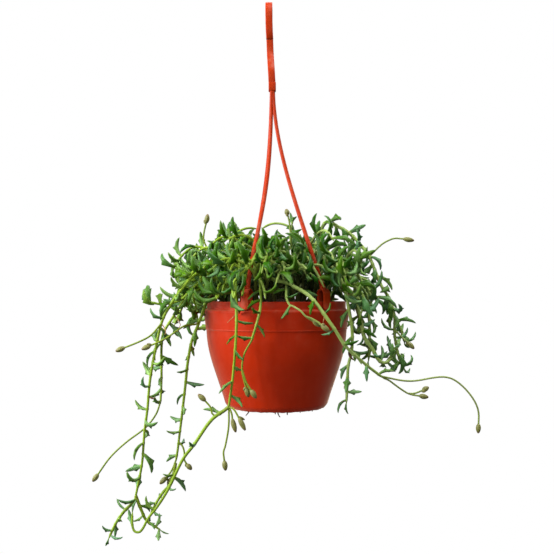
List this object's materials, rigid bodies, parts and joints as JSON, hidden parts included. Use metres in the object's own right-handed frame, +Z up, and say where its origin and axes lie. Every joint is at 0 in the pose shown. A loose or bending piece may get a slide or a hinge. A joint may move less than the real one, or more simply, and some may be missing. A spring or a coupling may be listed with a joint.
{
  "type": "potted string of dolphins",
  "caption": "Hanging nursery pot with a one-piece hooked hanger, filled with mix and planted with a mop of arching and trailing succulent stems.",
  "frame": {"origin": "the seat inside the hook's crown, on its lowest flat, where a rod carries the whole thing", "axes": "+Z up, along the hang; +X to the viewer's right; +Y away from the viewer"},
  "size_m": [0.3725, 0.2033, 0.5301],
  "materials": {
    "pot_plastic": "satin",
    "hanger_plastic": "satin",
    "potting_mix": "matte",
    "leaf_green": "satin",
    "stem_green": "satin",
    "bud_olive": "matte"
  },
  "bodies": {
    "root": {"pot": "pot_plastic", "soil": "potting_mix", "hanger": "hanger_plastic", "stem_centre_bud": "leaf_green", "stem_front_left": "leaf_green", "stem_front_middle": "leaf_green", "stem_front_right": "leaf_green", "stem_left_bud": "leaf_green", "stem_left_inner": "leaf_green", "stem_left_long": "leaf_green", "stem_left_low": "leaf_green", "stem_left_outer": "leaf_green", "stem_left_side": "leaf_green", "stem_mop_01": "leaf_green", "stem_mop_02": "leaf_green", "stem_mop_03": "leaf_green", "stem_mop_04": "leaf_green", "stem_mop_05": "leaf_green", "stem_mop_06": "leaf_green", "stem_mop_07": "leaf_green", "stem_mop_08": "leaf_green", "stem_mop_09": "leaf_green", "stem_mop_10": "leaf_green", "stem_mop_11": "leaf_green", "stem_mop_12": "leaf_green", "stem_right_back": "leaf_green", "stem_right_front": "leaf_green", "stem_right_inner": "leaf_green", "stem_right_long": "leaf_green", "stem_right_low": "leaf_green", "stem_right_middle": "leaf_green", "stem_right_outer": "leaf_green"}
  },
  "joints": []
}
